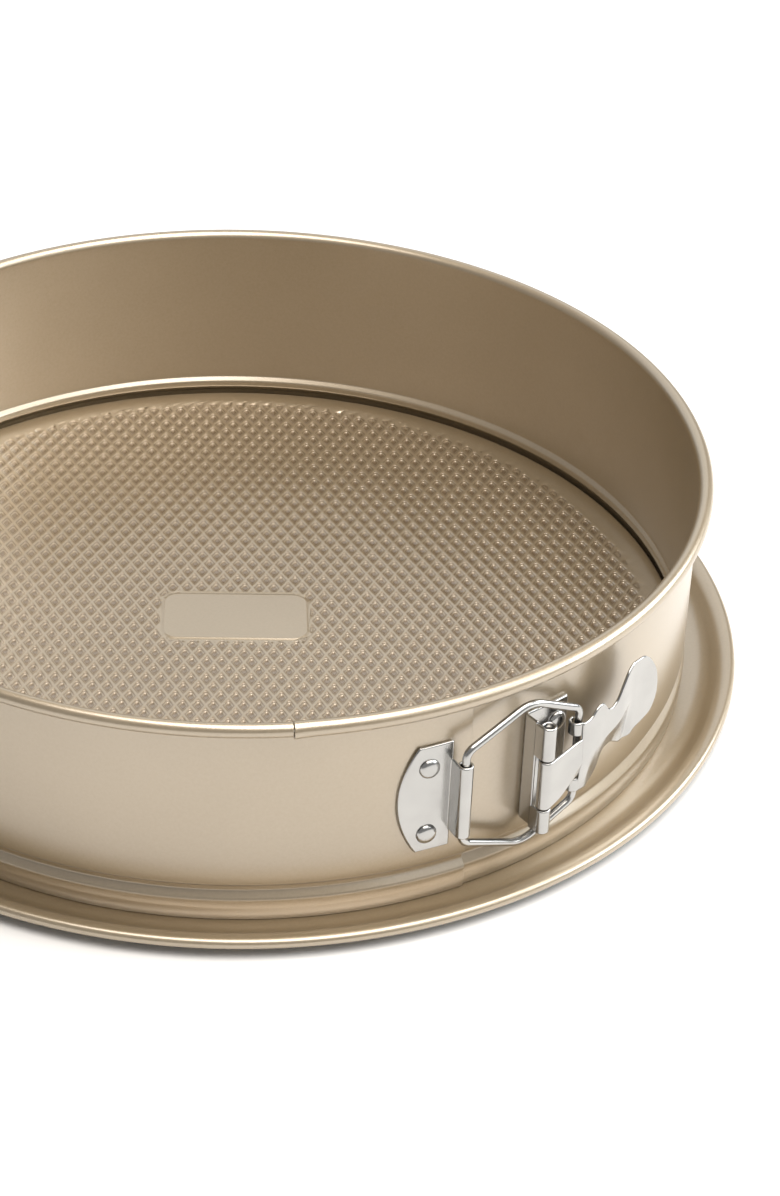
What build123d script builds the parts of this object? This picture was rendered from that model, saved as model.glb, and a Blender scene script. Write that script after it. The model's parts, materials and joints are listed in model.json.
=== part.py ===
from build123d import *
import os
from math import cos, degrees, radians, sin

# Springform pan: a sprung steel band with a rolled rim, closed by an
# over-centre bail clasp round the raised middle of a wide, rimmed base.
# Origin: centre of the pan, on the table. +Z is up. The band's outer end
# edge (the seam) lies at -Y. Angles run from -Y towards +X, in degrees.

# ---- band (one strip of sheet, its two ends overlapping) ----
BAND_INNER_R = 130.0
BAND_SHEET = 0.5
BAND_FOOT_Z = 1.0
BEAD_LOW_Z = 5.0
BEAD_HIGH_Z = 7.5
BEAD_OUT = 0.4              # how far the bead stands proud of the wall
CREASE_Z = 10.6
CREASE_IN = 1.3             # how far the crimped crease goes in
WALL_START_Z = 13.4
ROLL_Z = 62.9               # centre of the rolled rim
ROLL_R = 2.05               # outside radius of the roll
ROLL_TURN = 295.0
TONGUE_ANGLE = -21.1        # where the strip's inner end, and its roll, start
ROLL_GAP_ANGLE = 0.15       # gap between the two ends of the rolled rim
TUCKED_TOP_Z = 60.2         # outer layer, where it tucks under the roll
SPIRAL_SHIFT = 0.34         # eccentricity that lays one end over the other
BAND_FILLET = 0.9

# ---- base ----
BASE_SHEET = 0.7
PLATEAU_R = 129.6
PLATEAU_Z = 7.1
TROUGH_R = 137.0
DISH_R = 142.2
EDGE_ROLL_R = 1.5
EDGE_ROLL_CENTRE_R = 144.5
EDGE_ROLL_CENTRE_Z = 4.15
EDGE_ROLL_TURN = 225.0
BASE_FILLET = 0.8

# ---- clasp: the three vertical axes ----
KNUCKLE_ANGLE, KNUCKLE_R = -1.8, 136.0      # bail in its plate
PIVOT_ANGLE, PIVOT_R = 8.2, 138.3           # lever on its bracket
BARREL_R = 2.1
CLASP_SHEET = 0.8
PLATE_SHEET = 1.0
PLATE_GAP = 0.03
LEVER_HEADING = 20.5        # direction of the closed lever, from +X

# ---- wire bail ----
WIRE_R = 1.1
WIRE_PLAY = 0.05
BAIL_MID_Z = 34.9
BAIL_KNUCKLE_HALF = 14.5
BAIL_WIDE_HALF = 22.9
BAIL_WIDE_AT = 20.0          # along the bail, from the knuckle
BAIL_HOOK_HALF = 14.7
BAIL_BEND = 3.4
BAIL_WIDE_BEND = 9.0

# ---- bail plate ----
BAIL_PLATE_FROM, BAIL_PLATE_TO = -8.9, -2.6
BAIL_PLATE_LOW, BAIL_PLATE_HIGH = 17.3, 51.3
BAIL_PLATE_BOW = 2.4        # angle by which the free edge is arched
TONGUE_LOW, TONGUE_HIGH = 22.7, 45.8
BAIL_RIVET_ANGLE = -5.4
BAIL_RIVET_Z = (23.1, 44.2)

# ---- lever bracket ----
BRACKET_TO = 13.6
BRACKET_LOW, BRACKET_HIGH = 17.5, 51.4
BRACKET_BARREL_LOW, BRACKET_BARREL_HIGH = 16.55, 50.9
BARREL_JOIN = 0.5           # how far the low barrel runs up into the web
LEVER_BARREL_LOW, LEVER_BARREL_HIGH = 24.5, 40.0
BARREL_GAP = 0.2            # between the lever's barrel and its neighbours
BARREL_CLEAR = 0.3          # clearance round a barrel cut out of the web
BARREL_TOP_SHIFT = 0.5      # keeps the web whole above the top barrel
BRACKET_CORNER = 1.2
BRACKET_RIVET_ANGLE = 12.1
BRACKET_RIVET_Z = (22.0, 44.6)

# ---- pivot pin and rivets ----
PIN_R = 1.25
PIN_PLAY = 0.05
PIN_INSET = 1.5             # the pin's ends sit inside the barrels
RIVET_SHANK_R = 1.5
RIVET_HEAD_R = 2.85
RIVET_DOME = 1.3
RIVET_TAIL_R = 2.6
RIVET_TAIL = 0.5
FIT_GAP = 0.02
CUT = 5.0                   # how far a cutting tool reaches past the sheet

# ---- lever ----
HOOK_AT = 12.3              # hook centre along the lever, from the pivot
HOOK_IN_R = 1.35
HOOK_UPPER = (41.9, 46.2)
HOOK_LOWER = (23.7, 28.2)
BAIL_LEG_AT = 13.0
BLADE_BEND = 0.5
# outlines in the lever's own frame: distance from the pivot, and height
ARM_OUTLINE = (
    (0, LEVER_BARREL_LOW),
    (0, LEVER_BARREL_HIGH),
    (HOOK_AT, 41.2),
    (HOOK_AT, 29.6),
    (5.0, 25.6),
)
BLADE_OUTLINE = (
    (HOOK_AT, HOOK_UPPER[1]),
    (15.4, 46.4),
    (18.4, 48.6),
    (20.8, 48.0),
    (22.6, 45.2),
    (26.4, 46.0),
    (31.0, 52.6),
    (36.0, 54.6),
    (41.6, 51.4),
    (45.2, 43.6),
    (45.2, 35.8),
    (41.6, 32.4),
    (35.4, 31.4),
    (32.0, 28.8),
    (28.6, 30.8),
    (24.2, 31.2),
    (21.6, 26.4),
    (18.6, HOOK_LOWER[0]),
    (HOOK_AT, HOOK_LOWER[0]),
)


def polar(angle, radius):
    """Point on the plan at a polar angle from -Y and a radius."""
    a = radians(angle)
    return Vector(radius * sin(a), -radius * cos(a), 0)


def section_plane(angle, shift=0.0):
    """Vertical half-plane at an angle: local x outwards, local y up."""
    a = radians(angle)
    return Plane(
        origin=(0, -shift, 0),
        x_dir=(sin(a), -cos(a), 0),
        z_dir=(-cos(a), -sin(a), 0),
    )


def tangent_plane(angle, z=0.0):
    """Level plane through the pan's axis: a radius r is the point (0, -r)."""
    a = radians(angle)
    return Plane(origin=(0, 0, z), x_dir=(cos(a), sin(a), 0), z_dir=(0, 0, 1))


def radial_plane(angle, radius, z):
    """Plane square to the wall: its normal points outwards."""
    a = radians(angle)
    return Plane(
        origin=polar(angle, radius) + Vector(0, 0, z),
        x_dir=(cos(a), sin(a), 0),
        z_dir=(sin(a), -cos(a), 0),
    )


def rivet_holes(angle, heights, from_r):
    """Cutters for rivet holes, running outwards from a radius."""
    with BuildPart() as holes:
        for z in heights:
            with BuildSketch(radial_plane(angle, from_r, z)):
                Circle(RIVET_SHANK_R + FIT_GAP)
            extrude(amount=CUT)
    return holes.part


# ==================== bent sheet in section ====================
def bent_sheet(points, bend, sheet):
    """Section of a bent sheet: `points` run along its middle."""
    path = [Vector(x, y) for x, y in points]
    runs = [(q - p).normalized() for p, q in zip(path, path[1:])]
    normals = [Vector(-run.Y, run.X) for run in runs]
    left = [path[0] + normals[0] * (sheet / 2)]
    right = [path[0] - normals[0] * (sheet / 2)]
    left_bends = []
    right_bends = []
    for corner, before, after in zip(path[1:], normals, normals[1:]):
        mitre = (before + after) * (sheet / 2 / (1 + before.dot(after)))
        turn = 1 if before.cross(after).Z > 0 else -1
        left.append(corner + mitre)
        right.append(corner - mitre)
        left_bends.append(bend - turn * sheet / 2)
        right_bends.append(bend + turn * sheet / 2)
    left.append(path[-1] + normals[-1] * (sheet / 2))
    right.append(path[-1] - normals[-1] * (sheet / 2))
    with BuildSketch() as section:
        with BuildLine():
            left_side = FilletPolyline(*left, radius=left_bends)
            right_side = FilletPolyline(*right, radius=right_bends)
            Line(left_side @ 0, right_side @ 0)
            Line(left_side @ 1, right_side @ 1)
        make_face()
    return section.sketch


def curl(centre, outer_r, sheet, start, turn):
    """Section of a curled edge: a ring sector, open where the curl ends."""
    with BuildSketch() as section:
        with BuildLine():
            outside = CenterArc(centre, outer_r, start, turn)
            inside = CenterArc(centre, outer_r - sheet, start, turn)
            Line(outside @ 0, inside @ 0)
            Line(outside @ 1, inside @ 1)
        make_face()
    return section.sketch


# ============================ base ============================
half_base = BASE_SHEET / 2
roll_top_z = EDGE_ROLL_CENTRE_Z + EDGE_ROLL_R - half_base
with BuildPart() as base_plate:
    with BuildSketch(Plane.XZ):
        add(
            bent_sheet(
                [
                    (0, PLATEAU_Z - half_base),
                    (PLATEAU_R - half_base, PLATEAU_Z - half_base),
                    (PLATEAU_R - half_base, half_base),
                    (TROUGH_R, half_base),
                    (DISH_R, roll_top_z),
                    (EDGE_ROLL_CENTRE_R, roll_top_z),
                ],
                BASE_FILLET,
                BASE_SHEET,
            )
        )
        add(
            curl(
                (EDGE_ROLL_CENTRE_R, EDGE_ROLL_CENTRE_Z),
                EDGE_ROLL_R,
                BASE_SHEET,
                90,
                -EDGE_ROLL_TURN,
            )
        )
    revolve(axis=Axis.Z)


# ============================ band ============================
def band_section(plane, grow, rolled):
    """Section of the strip, foot to rim, on a vertical plane."""
    middle = BAND_INNER_R + BAND_SHEET / 2 + grow
    strip = bent_sheet(
        [
            (middle, BAND_FOOT_Z),
            (middle + BEAD_OUT, BEAD_LOW_Z),
            (middle + BEAD_OUT, BEAD_HIGH_Z),
            (middle - CREASE_IN, CREASE_Z),
            (middle, WALL_START_Z),
            (middle, ROLL_Z if rolled else TUCKED_TOP_Z),
        ],
        BAND_FILLET,
        BAND_SHEET,
    )
    with BuildSketch(plane) as section:
        add(strip)
        if rolled:
            centre = (BAND_INNER_R + grow + ROLL_R, ROLL_Z)
            add(curl(centre, ROLL_R, BAND_SHEET, 180, -ROLL_TURN))
    return section.sketch


tucked_from = TONGUE_ANGLE - ROLL_GAP_ANGLE
inner_axis = Axis((0, 0, 0), (0, 0, 1))
outer_axis = Axis((0, -SPIRAL_SHIFT, 0), (0, 0, 1))
outer_wall_r = BAND_INNER_R + BAND_SHEET + 2 * SPIRAL_SHIFT
with BuildPart() as band:
    revolve(
        band_section(section_plane(tucked_from, SPIRAL_SHIFT), SPIRAL_SHIFT, False),
        axis=outer_axis,
        revolution_arc=-tucked_from,
    )
    add(
        rivet_holes(BAIL_RIVET_ANGLE, BAIL_RIVET_Z, outer_wall_r - BAND_SHEET - FIT_GAP),
        mode=Mode.SUBTRACT,
    )
    revolve(
        band_section(section_plane(TONGUE_ANGLE), 0, True),
        axis=inner_axis,
        revolution_arc=180 - TONGUE_ANGLE,
    )
    revolve(
        band_section(section_plane(180, SPIRAL_SHIFT), SPIRAL_SHIFT, True),
        axis=outer_axis,
        revolution_arc=180 + TONGUE_ANGLE - ROLL_GAP_ANGLE,
    )
    add(
        rivet_holes(BRACKET_RIVET_ANGLE, BRACKET_RIVET_Z, BAND_INNER_R - BAND_SHEET),
        mode=Mode.SUBTRACT,
    )


# ==================== knuckles and wall plates ====================
def knuckle_web(bore_r, wall_r, barrel_at, sheet):
    """Barrel and the web behind it, on a level plane turned to the barrel.

    The web leaves the left side of the barrel and runs in to the wall.
    """
    with BuildSketch() as section:
        with Locations((0, -barrel_at)):
            Circle(BARREL_R)
        with Locations((-BARREL_R, -wall_r)):
            Rectangle(sheet, barrel_at - wall_r, align=(Align.MIN, Align.MAX))
        with Locations((0, -barrel_at)):
            Circle(bore_r, mode=Mode.SUBTRACT)
    return section.sketch


def barrel_ring(bore_r, barrel_at):
    """Plain barrel section, on a level plane turned to the barrel."""
    with BuildSketch() as section:
        with Locations((0, -barrel_at)):
            Circle(BARREL_R)
            Circle(bore_r, mode=Mode.SUBTRACT)
    return section.sketch


def wall_plate(start, end, low, high, inner_r, sheet):
    """Curved plate that lies on the wall between two angles."""
    with BuildSketch(section_plane(start)) as section:
        with Locations((inner_r, low)):
            Rectangle(sheet, high - low, align=(Align.MIN, Align.MIN))
    return section.sketch


plate_inner_r = outer_wall_r + PLATE_GAP
plate_outer_r = plate_inner_r + PLATE_SHEET
bracket_inner_r = BAND_INNER_R + BAND_SHEET + PLATE_GAP
bracket_outer_r = bracket_inner_r + PLATE_SHEET
plate_mid_z = (BAIL_PLATE_LOW + BAIL_PLATE_HIGH) / 2
plate_half = (BAIL_PLATE_HIGH - BAIL_PLATE_LOW) / 2

# ============================ bail plate ============================
with BuildPart() as bail_plate:
    revolve(
        wall_plate(
            BAIL_PLATE_FROM,
            BAIL_PLATE_TO,
            BAIL_PLATE_LOW,
            BAIL_PLATE_HIGH,
            plate_inner_r,
            PLATE_SHEET,
        ),
        axis=Axis.Z,
        revolution_arc=BAIL_PLATE_TO - BAIL_PLATE_FROM,
    )
    with BuildSketch(radial_plane(BAIL_PLATE_FROM, plate_inner_r - CUT, plate_mid_z)):
        bow = radians(BAIL_PLATE_BOW) * plate_inner_r
        with BuildLine():
            edge = ThreePointArc((bow, plate_half), (0, 0), (bow, -plate_half))
            Polyline(edge @ 1, (-bow, -plate_half), (-bow, plate_half), edge @ 0)
        make_face()
    extrude(amount=2 * CUT, mode=Mode.SUBTRACT)
    with BuildSketch(tangent_plane(KNUCKLE_ANGLE, TONGUE_LOW)):
        add(knuckle_web(WIRE_R + WIRE_PLAY, plate_inner_r + PLATE_GAP, KNUCKLE_R, CLASP_SHEET))
    extrude(amount=TONGUE_HIGH - TONGUE_LOW)
    add(rivet_holes(BAIL_RIVET_ANGLE, BAIL_RIVET_Z, outer_wall_r), mode=Mode.SUBTRACT)

# ============================ lever bracket ============================
bracket_from = PIVOT_ANGLE - degrees(BARREL_R / bracket_inner_r)
with BuildPart() as lever_bracket:
    revolve(
        wall_plate(
            bracket_from,
            BRACKET_TO,
            BRACKET_LOW,
            BRACKET_HIGH,
            bracket_inner_r,
            PLATE_SHEET,
        ),
        axis=Axis.Z,
        revolution_arc=BRACKET_TO - bracket_from,
    )
    free_edge = lever_bracket.edges().filter_by(GeomType.LINE).filter_by(
        lambda edge: abs(edge.length - PLATE_SHEET) < PLATE_GAP
    ).sort_by(Axis.X)[-2:]
    fillet(free_edge, BRACKET_CORNER)
    with BuildSketch(tangent_plane(PIVOT_ANGLE, BRACKET_LOW)):
        add(knuckle_web(PIN_R, bracket_inner_r + PLATE_GAP, PIVOT_R, CLASP_SHEET))
    extrude(amount=BRACKET_HIGH - BRACKET_LOW)
    with BuildSketch(tangent_plane(PIVOT_ANGLE, BRACKET_BARREL_LOW)):
        add(barrel_ring(PIN_R, PIVOT_R))
    extrude(amount=BRACKET_LOW - BRACKET_BARREL_LOW + BARREL_JOIN)
    # the lever's own barrel takes the middle of the pivot line
    with BuildSketch(tangent_plane(PIVOT_ANGLE, LEVER_BARREL_LOW - BARREL_GAP)):
        with Locations((0, -PIVOT_R)):
            Circle(BARREL_R + BARREL_CLEAR)
    extrude(amount=LEVER_BARREL_HIGH - LEVER_BARREL_LOW + 2 * BARREL_GAP, mode=Mode.SUBTRACT)
    # the barrels end a little below the web's top corner
    with BuildSketch(tangent_plane(PIVOT_ANGLE, BRACKET_BARREL_HIGH)):
        with Locations((BARREL_TOP_SHIFT, -PIVOT_R)):
            Circle(BARREL_R + BARREL_CLEAR)
    extrude(amount=BRACKET_HIGH - BRACKET_BARREL_HIGH + CUT, mode=Mode.SUBTRACT)
    add(rivet_holes(BRACKET_RIVET_ANGLE, BRACKET_RIVET_Z, BAND_INNER_R), mode=Mode.SUBTRACT)

# ============================ pivot pin ============================
with BuildPart() as pivot_pin:
    with BuildSketch(tangent_plane(PIVOT_ANGLE, BRACKET_BARREL_LOW + PIN_INSET)):
        with Locations((0, -PIVOT_R)):
            Circle(PIN_R)
    extrude(amount=BRACKET_BARREL_HIGH - BRACKET_BARREL_LOW - 2 * PIN_INSET)


# ============================ rivets ============================
def rivet(angle, z, inner_r, seat_r, tailed):
    """Domed rivet through the wall, turned as one half-section."""
    seat = seat_r - inner_r
    axis_plane = Plane(
        origin=polar(angle, inner_r) + Vector(0, 0, z),
        x_dir=(0, 0, 1),
        z_dir=tangent_plane(angle).x_dir,
    )
    shank = [(RIVET_SHANK_R, seat), (RIVET_SHANK_R, 0)]
    if tailed:
        shank += [(RIVET_TAIL_R, 0), (RIVET_TAIL_R, -RIVET_TAIL), (0, -RIVET_TAIL)]
    else:
        shank += [(0, 0)]
    with BuildPart() as body:
        with BuildSketch(axis_plane):
            with BuildLine():
                dome = ThreePointArc(
                    (0, seat + RIVET_DOME),
                    (RIVET_HEAD_R * 0.7, seat + RIVET_DOME * 0.6),  # full shoulders
                    (RIVET_HEAD_R, seat),
                )
                Polyline(dome @ 1, *shank, dome @ 0)
            make_face()
        revolve(axis=Axis(axis_plane.origin, axis_plane.y_dir))
    return body.part


bail_rivet_inner_r = outer_wall_r - BAND_SHEET
bail_rivets = [
    rivet(BAIL_RIVET_ANGLE, z, bail_rivet_inner_r, plate_outer_r + FIT_GAP, False)
    for z in BAIL_RIVET_Z
]
bracket_rivets = [
    rivet(BRACKET_RIVET_ANGLE, z, BAND_INNER_R - PLATE_GAP, bracket_outer_r + FIT_GAP, True)
    for z in BRACKET_RIVET_Z
]

# ============================ lever ============================
# Its own frame: x along the closed lever from the pivot, y inwards
# (towards the wall), z up.
heading = radians(LEVER_HEADING)
pivot = polar(PIVOT_ANGLE, PIVOT_R)
lever_plan = Plane(origin=pivot, x_dir=(cos(heading), sin(heading), 0), z_dir=(0, 0, 1))
lever_side = Plane(
    origin=pivot,
    x_dir=(cos(heading), sin(heading), 0),
    z_dir=(sin(heading), -cos(heading), 0),
)
sheet_in = BARREL_R - CLASP_SHEET
hook_y = HOOK_IN_R - sheet_in

with BuildPart() as clamp_lever:
    # arm and blade: a flat blank, drawn from the wall's side outwards
    with BuildSketch(lever_side.offset(sheet_in)):
        with BuildLine():
            Polyline(*ARM_OUTLINE, close=True)
        make_face()
        with BuildLine():
            FilletPolyline(*BLADE_OUTLINE, radius=BLADE_BEND, close=True)
        make_face()
    extrude(amount=CLASP_SHEET)
    # rolled barrel round the pin
    with BuildSketch(lever_plan.offset(LEVER_BARREL_LOW)):
        Circle(BARREL_R)
    extrude(amount=LEVER_BARREL_HIGH - LEVER_BARREL_LOW)
    with BuildSketch(lever_plan.offset(LEVER_BARREL_LOW)):
        Circle(PIN_R + PIN_PLAY)
    extrude(amount=LEVER_BARREL_HIGH - LEVER_BARREL_LOW, mode=Mode.SUBTRACT)
    # two hooks, curled inwards round the pivot side of the bail's far leg
    for low, high in (HOOK_UPPER, HOOK_LOWER):
        with BuildSketch(lever_plan.offset(low)):
            add(curl((HOOK_AT, hook_y), HOOK_IN_R + CLASP_SHEET, CLASP_SHEET, 90, 180))
        extrude(amount=high - low)

# ============================ wire bail ============================
knuckle = polar(KNUCKLE_ANGLE, KNUCKLE_R)
hook_leg = lever_plan.from_local_coords(Vector(BAIL_LEG_AT, hook_y, 0))
reach = (hook_leg - knuckle).length
bail_side = Plane(
    origin=knuckle + Vector(0, 0, BAIL_MID_Z),
    x_dir=(hook_leg - knuckle).normalized(),
    z_dir=(hook_leg - knuckle).normalized().cross(Vector(0, 0, 1)),
)
with BuildPart() as wire_bail:
    with BuildLine(bail_side) as loop:
        FilletPolyline(
            (0, -BAIL_KNUCKLE_HALF),
            (0, BAIL_KNUCKLE_HALF),
            (BAIL_WIDE_AT, BAIL_WIDE_HALF),
            (reach, BAIL_HOOK_HALF),
            (reach, -BAIL_HOOK_HALF),
            (BAIL_WIDE_AT, -BAIL_WIDE_HALF),
            radius=[
                BAIL_BEND, BAIL_BEND, BAIL_WIDE_BEND, BAIL_BEND, BAIL_BEND, BAIL_WIDE_BEND
            ],
            close=True,
        )
    with BuildSketch(Plane(origin=knuckle + Vector(0, 0, BAIL_MID_Z), z_dir=(0, 0, 1))):
        Circle(WIRE_R)
    sweep(path=loop.wire())

# ============================ written parts ============================
pieces = {
    "base_plate": base_plate.part,
    "band": band.part,
    "bail_plate": bail_plate.part,
    "wire_bail": wire_bail.part,
    "lever_bracket": lever_bracket.part,
    "clamp_lever": clamp_lever.part,
    "pivot_pin": pivot_pin.part,
    "bail_rivet_lower": bail_rivets[0],
    "bail_rivet_upper": bail_rivets[1],
    "bracket_rivet_lower": bracket_rivets[0],
    "bracket_rivet_upper": bracket_rivets[1],
}
os.makedirs("parts", exist_ok=True)
for name, piece in pieces.items():
    piece.label = name
    export_step(piece, f"parts/{name}.step")

print("knuckle axis", knuckle)
print("pivot axis", pivot)
print("bail leg", hook_leg, "reach", reach)
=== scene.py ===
import json
import math

import bmesh
import bpy
import numpy as np
from bpy.props import FloatProperty, FloatVectorProperty, PointerProperty
from bpy.types import Operator, Panel, PropertyGroup
from mathutils import Matrix, Vector
from mathutils.geometry import tessellate_polygon


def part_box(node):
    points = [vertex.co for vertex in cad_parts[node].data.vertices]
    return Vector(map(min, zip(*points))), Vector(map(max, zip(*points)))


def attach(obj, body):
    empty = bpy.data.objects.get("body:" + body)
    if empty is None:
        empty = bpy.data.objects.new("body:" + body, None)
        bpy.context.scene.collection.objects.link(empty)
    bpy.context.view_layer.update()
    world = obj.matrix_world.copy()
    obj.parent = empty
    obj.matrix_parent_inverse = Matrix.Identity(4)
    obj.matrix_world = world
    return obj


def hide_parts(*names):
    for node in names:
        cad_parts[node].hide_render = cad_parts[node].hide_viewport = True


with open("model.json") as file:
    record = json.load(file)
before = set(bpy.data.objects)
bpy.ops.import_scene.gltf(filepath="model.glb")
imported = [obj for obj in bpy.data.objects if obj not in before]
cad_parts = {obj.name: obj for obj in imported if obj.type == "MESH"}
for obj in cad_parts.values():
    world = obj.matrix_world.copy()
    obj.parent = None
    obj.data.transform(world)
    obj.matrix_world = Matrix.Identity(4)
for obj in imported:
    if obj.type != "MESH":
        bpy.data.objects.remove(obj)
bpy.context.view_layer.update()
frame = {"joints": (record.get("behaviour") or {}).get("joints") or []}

bl_info = {
    "name": "Springform pan",
    "version": (1, 0, 0),
    "blender": (4, 5, 0),
    "location": "View3D > Sidebar > Pan",
    "description": "Builds a springform pan with an over-centre wire clasp round its packed frame",
    "category": "Add Mesh",
}

MM = 0.001
JOINTS = {joint["name"]: joint for joint in frame["joints"]}
KNUCKLE = np.array(JOINTS["bail_swing"]["pos_m"])  # axis of the bail, at its mid height
PIVOT = np.array(JOINTS["lever_swing"]["pos_m"])  # axis of the lever


# ======== settings ========
def linear(code):
    """sRGB hex code to the linear colour that a shader takes, with alpha 1."""
    srgb = [int(code[i : i + 2], 16) / 255 for i in (1, 3, 5)]
    return [c / 12.92 if c <= 0.04045 else ((c + 0.055) / 1.055) ** 2.4 for c in srgb] + [1.0]


def length(name, description, millimetres):
    """A length property, stored in metres."""
    return FloatProperty(
        name=name, description=description, default=millimetres * MM,
        min=0.0, unit="LENGTH", subtype="DISTANCE", precision=5)


def angle(name, description, degrees):
    """An angle property, stored in radians."""
    return FloatProperty(
        name=name, description=description, default=math.radians(degrees),
        unit="ROTATION", subtype="ANGLE")


def colour(name, description, code):
    """A colour property: its default is given in sRGB and kept linear."""
    return FloatVectorProperty(
        name=name, description=description, default=linear(code), size=4,
        min=0.0, max=1.0, subtype="COLOR")


class BandSettings(PropertyGroup):
    """The sprung strip."""

    inner_radius: length("Inner radius", "Inside of the wall at the strip's inner end", 130.0)
    sheet: length("Sheet", "Thickness of the strip", 0.5)
    bead_out: length("Bead", "How far the foot bead stands proud of the wall", 0.4)
    crease_in: length("Crease", "How far the crimped crease goes in", 1.3)
    crease_rise: length("Crease rise", "How much higher the crease is at the inner end", 0.7)
    inner_roll: length("Inner roll", "Radius of the rolled rim on the inner half", 2.15)
    outer_roll: length("Outer roll", "Radius of the rolled rim on the outer half", 1.95)
    roll_flare: length("Roll flare", "How much the roll opens at its free end", 0.22)
    spiral: length("Spiral", "Eccentricity that lays one end over the other", 0.34)
    tongue: angle("Tongue", "Angle of the strip's inner end from the seam", -21.1)


class BaseSettings(PropertyGroup):
    """The pressed base."""

    sheet: length("Sheet", "Thickness of the base", 0.7)
    plateau_radius: length("Plateau radius", "Radius of the raised middle", 129.6)
    pattern_radius: length("Pattern radius", "Radius of the embossed disc", 122.9)
    diamond_pitch: length("Diamond pitch", "Spacing of the diamonds along a row", 4.29)
    diamond_row: length("Diamond row", "Spacing of the rows", 4.26)
    diamond_depth: length("Diamond depth", "Depth of the embossing", 0.6)
    plaque_long: length("Plaque length", "Long side of the plain plaque", 42.7)
    plaque_wide: length("Plaque width", "Short side of the plain plaque", 23.6)
    plaque_rise: length("Plaque rise", "How far the plaque stands above the ridges", 0.0)
    pattern_turn: angle("Pattern turn", "Heading of the plaque's long side from +X", -27.3)


class ClaspSettings(PropertyGroup):
    """The clasp on the seam."""

    wire_radius: length("Wire radius", "Radius of the bail's wire", 1.1)
    barrel_radius: length("Barrel radius", "Outside radius of the rolled barrels", 2.1)
    sheet: length("Sheet", "Thickness of the lever, web and barrels", 0.8)
    plate: length("Plate", "Thickness of the two wall plates", 1.0)
    fold: length("Lever fold", "Height of the ridge along the lever", 1.3)
    heading: angle("Lever heading", "Heading of the closed lever from +X", 20.5)


class FinishSettings(PropertyGroup):
    """Colours of the two finishes."""

    coating: colour("Coating", "Champagne non-stick coating", "#A59376")
    coating_dark: colour("Coating, thin", "The coating where it lies thinner", "#9C8A6C")
    plating: colour("Plating", "Bright plated steel", "#BEBDBB")
    plating_dull: colour("Plating, dull", "Handled and rubbed plating", "#AFAEAC")
    floor: colour("Floor", "Pale studio floor", "#E6E6E6")


class PAN_Settings(PropertyGroup):
    """Everything a user would change on the pan."""

    band: PointerProperty(type=BandSettings, name="Band", description="The sprung strip")
    base: PointerProperty(type=BaseSettings, name="Base", description="The pressed base")
    clasp: PointerProperty(type=ClaspSettings, name="Clasp", description="The clasp")
    finish: PointerProperty(type=FinishSettings, name="Finish", description="The finishes")


# ======== materials ========
# painted shade and painted highlight as tints of the coating against the way into a diamond of the
# embossed base: full tone on the ridges, painted shade in the groove beside each ridge and in the
# pit, a painted highlight along the step inside each diamond
DIAMOND_SHADE_TONES = (
    (0.0, "#FFFFFF"), (0.09, "#FFFFFF"), (0.14, "#D8CFC4"), (0.18, "#D8CFC4"),
    (0.22, "#FFFFFF"), (0.26, "#F6F2EC"), (0.31, "#C4B6A4"), (1.0, "#C4B6A4"))
MADE = {}  # each finished material, by the name of its maker


def add_node(tree, kind, feeds=None, **settings):
    """Adds a node. `feeds` gives each input a value, or the output that drives it.

    A colour Mix node takes its two colours at inputs 6 and 7, and gives output 2.
    """
    made = tree.nodes.new(kind)
    for key, value in settings.items():
        setattr(made, key, value)
    for socket, value in (feeds or {}).items():
        if isinstance(value, bpy.types.NodeSocket):
            tree.links.new(value, made.inputs[socket])
        else:
            made.inputs[socket].default_value = value
    return made


def new_material(name):
    """An empty node material with its output, and the tree to fill."""
    material = bpy.data.materials.new(name)
    material.use_nodes = True
    tree = material.node_tree
    tree.nodes.clear()
    return material, tree, add_node(tree, "ShaderNodeOutputMaterial")


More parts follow.
